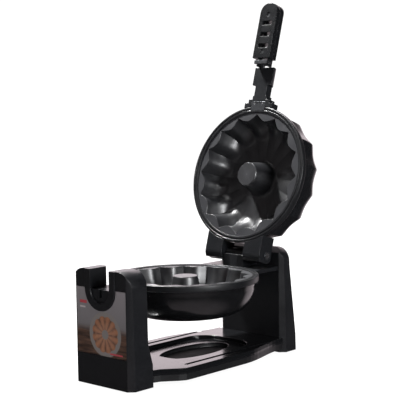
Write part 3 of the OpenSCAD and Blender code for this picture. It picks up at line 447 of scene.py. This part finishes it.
LOOKS = {
    "stand_plastic": finish("stand_plastic", (0.0052, 0.0055, 0.0065), 0.35, grain=700, strength=0.5,
                            depth=0.0001, specular=0.42),
    "base_plastic": deck_finish(),
    "floor_plastic": finish("floor_plastic", (0.012, 0.012, 0.013), 0.6, grain=500),
    "rubber": finish("rubber", (0.012, 0.012, 0.012), 0.75, grain=500),
    "steel": brushed("steel", (0.62, 0.62, 0.63, 1), 0.28),
    "dark_steel": finish("dark_steel", (0.05, 0.052, 0.056), 0.38, grain=900, metal=0.8),
    "bush": finish("bush", (0.7, 0.69, 0.65), 0.45, grain=400, mottle=0.05),
    "ceramic": finish("ceramic", (0.75, 0.73, 0.68), 0.6, grain=400, mottle=0.05),
    "rim_plastic": finish("rim_plastic", (0.0050, 0.0053, 0.0061), 0.37, grain=650, strength=0.6,
                          depth=0.00012, specular=0.32),
    "nonstick": coated("nonstick", (0.0065, 0.0068, 0.008, 1), 0.38),
    "sheath": brushed("sheath", (0.4, 0.39, 0.37, 1), 0.4),
    "alloy": brushed("alloy", (0.6, 0.6, 0.6, 1), 0.35),
    "hinge_plastic": finish("hinge_plastic", (0.0055, 0.006, 0.007), 0.34, grain=700, strength=0.4,
                            specular=0.34),
    "gloss_shell": finish("gloss_shell", (0.0035, 0.0036, 0.004), 0.16, grain=260, strength=0.05,
                          spread=0.03, coat=0.2, coat_rough=0.06),
    "lid_plastic": finish("lid_plastic", (0.004, 0.0043, 0.005), 0.24, grain=500, strength=0.12,
                          specular=0.42),
    "grip_plastic": finish("grip_plastic", (0.0040, 0.0043, 0.0050), 0.28, grain=750, strength=0.45,
                           specular=0.4),
    "label": printed_label(),
}

SOFTENED = ["front_post", "rear_post", "base_shell", "lower_hinge", "lower_stub", "lid_hinge", "lid_bracket",
            "bracket_plate", "grip_lower", "grip_upper", "latch_lever", "label_panel"]
# These screws get a dark metal in place of their own finish: painted shade for the dark holes they sit in.
SCREWS_DARKENED_AS_SHADE = ["grip_screws", "lid_hinge_screws", "lower_stub_screws"]
record_slots = {part["node"]: part["material_slot"] for part in frame["record"]["subparts"]}

for key, obj in nodes.items():
    obj.data.materials.clear()
    # Dark metal on the listed screws is painted shade.
    obj.data.materials.append(LOOKS["dark_steel" if key in SCREWS_DARKENED_AS_SHADE else record_slots[key]])
    if key in SOFTENED:
        weld = obj.modifiers.new("weld", "WELD")
        weld.merge_threshold = 1e-5
        soft = obj.modifiers.new("soft", "BEVEL")
        soft.width = SOFT_EDGE
        soft.segments = 2
        soft.limit_method = "ANGLE"
        soft.angle_limit = math.radians(40)
        soft.use_clamp_overlap = True
        soft.harden_normals = True

pan_skin = thicken(fluted(cavity, AXIS_Z - LIP), SHEET)
piece("pan_mould", pan_skin, "nonstick", "head", "lower_mould")
lid_skin = thicken(fluted(cavity, AXIS_Z + FLANGE_IN, flip=-1), -SHEET)
piece("lid_mould_skin", lid_skin, "nonstick", "lid", "lid_mould", lid=True)
dome_skin = thicken(fluted(dome, AXIS_Z, shift=math.pi / FLUTES), SHELL_T)
piece("lid_dome", dome_skin, "lid_plastic", "lid", "lid_shell", lid=True, angle=28)

bowl = ([(HUB_R, -PAN_DEPTH), (BOWL_FLAT_R, -PAN_DEPTH)] + bowl_line(0)
        + [(SHELL_R, -RIM_H), (SHELL_R, -LIP - SHEET)]
        + [(SHELL_R - SHELL_T, -LIP - SHEET), (SHELL_R - SHELL_T, -RIM_H)] + bowl_line(SHELL_T)[::-1]
        + [(BOWL_FLAT_R, -PAN_DEPTH + SHELL_T), (HUB_R, -PAN_DEPTH + SHELL_T)])
piece("pan_bowl", spin(bowl, BOWL_STEPS), "gloss_shell", "head", "lower_shell")

# A rim's section: its underside, the rounded outer edge, the shallow groove, the inner edge
rim = [(RIM_IN, -LIP), (SHELL_R + 0.3, -LIP), (SHELL_R + 0.3, -RIM_H), (RIM_R - 1.5, -RIM_H),
       (RIM_R - 0.6, -RIM_H + 0.4), (RIM_R - 0.1, -RIM_H + 1.2), (RIM_R, -RIM_H + 2), (RIM_R, -1.6),
       (RIM_R - 0.15, -0.9), (RIM_R - 0.5, -0.35), (RIM_R - 1.1, -0.05), (RIM_R - 1.6, 0),
       (RIM_R - 3.4, 0), (RIM_R - 3.7, -0.7), (RIM_R - 5.6, -0.7), (RIM_R - 5.9, 0),
       (RIM_IN + 0.8, 0), (RIM_IN + 0.2, -0.2), (RIM_IN, -0.6)]
piece("pan_rim", spin(rim, RIM_STEPS), "rim_plastic", "head", "lower_rim", angle=40)


def lid_rim_rings():
    """The lid's rim, sunk where the bracket's plate lies in it."""
    made = spin([(r, RIM_GAP - h) for r, h in rim], RIM_STEPS)
    for ring in made:
        for k, (x, y, z) in enumerate(ring):
            if abs(y) < PLATE_HALF and x < -RIM_R + PLATE_IN and z < AXIS_Z + RIM_GAP + 1:
                ring[k] = (x, y, AXIS_Z + RIM_GAP + PLATE_H)
    return made


piece("lid_rim_band", lid_rim_rings(), "rim_plastic", "lid", "lid_rim", lid=True, angle=40)

# ---- stage ----

def stage_sheet(name, verts, faces, material, unseen_by):
    """A floor or backdrop, hidden from the kinds of ray named."""
    mesh = bpy.data.meshes.new(name)
    mesh.from_pydata(verts, [], faces)
    mesh.materials.append(material)
    sheet = bpy.data.objects.new(name, mesh)
    bpy.context.scene.collection.objects.link(sheet)
    for ray in unseen_by:
        setattr(sheet, "visible_" + ray, False)


FLOOR_HALF, WALL_R, WALL_LOW, WALL_TOP, WALL_SIDES = 9, 8.5, -0.1, 9.0, 24    # metres

g = Surface("floor_paper")
g.set(Base_Color=g.mix(g.noise(5.0, 2.0), (0.10, 0.10, 0.10, 1), (0.12, 0.12, 0.12, 1)), Roughness=0.8,
      Specular_IOR_Level=0.1, Emission_Color=(1, 1, 1, 1), Emission_Strength=0.95)
corners = [(sx * FLOOR_HALF, sy * FLOOR_HALF, 0) for sx, sy in ((-1, -1), (1, -1), (1, 1), (-1, 1))]
stage_sheet("floor", corners, [(0, 1, 2, 3)], g.mat, ["glossy"])

g = Surface("backdrop_glow")
g.set(Base_Color=(0, 0, 0, 1), Specular_IOR_Level=0.0, Emission_Color=(1, 1, 1, 1), Emission_Strength=1.1)
wall = [(WALL_R * math.cos(a), WALL_R * math.sin(a), z) for z in (WALL_LOW, WALL_TOP)
        for a in turns(WALL_SIDES)]
sides = [(k, (k + 1) % WALL_SIDES, WALL_SIDES + (k + 1) % WALL_SIDES, WALL_SIDES + k)
         for k in range(WALL_SIDES)]
stage_sheet("backdrop", wall, sides + [tuple(range(WALL_SIDES, 2 * WALL_SIDES))], g.mat,
            ["glossy", "diffuse", "transmission", "shadow"])

# ---- light ----

world = bpy.data.worlds.new("studio")
world.use_nodes = True
sky = Nodes(world.node_tree)
outward = sky.add("ShaderNodeTexCoord").outputs["Generated"]


def lobe(direction, low, high, level):
    """Soft glow of the studio round one direction, from none at cosine low to full at high."""
    toward = sky.add("ShaderNodeVectorMath", {0: outward, 1: Vector(direction).normalized()},
                     operation="DOT_PRODUCT").outputs["Value"]
    return sky.add("ShaderNodeMapRange", {0: toward, 1: low, 2: high, 3: 0.0, 4: level},
                   interpolation_type="SMOOTHSTEP").outputs[0]


GLOWS = (((0.738, 0.674, 0.14), 0.72, 0.97, 1.7), ((-0.90, 0.42, 0.10), 0.55, 0.95, 0.06),
         ((-0.72, -0.68, 0.16), 0.965, 0.992, 0.5), ((0.97, -0.02, -0.26), 0.93, 0.99, 0.8),
         ((-0.2, -0.35, -0.92), 0.6, 0.95, 0.35), ((0.25, 0.35, 0.9), 0.55, 0.95, 0.2))
ROOM_LIGHT = 0.022
glow = lobe(*GLOWS[0])
for row in GLOWS[1:]:
    glow = sky.math("ADD", glow, lobe(*row))
background = sky.tree.nodes["Background"].inputs
sky.feed(background["Strength"], sky.math("ADD", glow, ROOM_LIGHT))
sky.feed(background["Color"], (1.0, 0.88, 0.925, 1))
bpy.context.scene.world = world
bpy.context.scene.view_settings.view_transform = "Standard"

BODY_MIDDLE = (0, 0, 0.25)
soft_light("side", (-0.30, -1.9, 0.75), BODY_MIDDLE, (0.5, 0.9), 48, (0.97, 0.98, 1.0))
soft_light("top", (0.10, 0.45, 1.55), (0.02, 0, 0.2), (1.0, 0.9), 8)
soft_light("left", (-1.7, 0.75, 0.6), BODY_MIDDLE, (0.5, 0.8), 0.6)
soft_light("key", (-0.04, 1.13, 2.35), BODY_MIDDLE, (0.25, 0.25), 280)
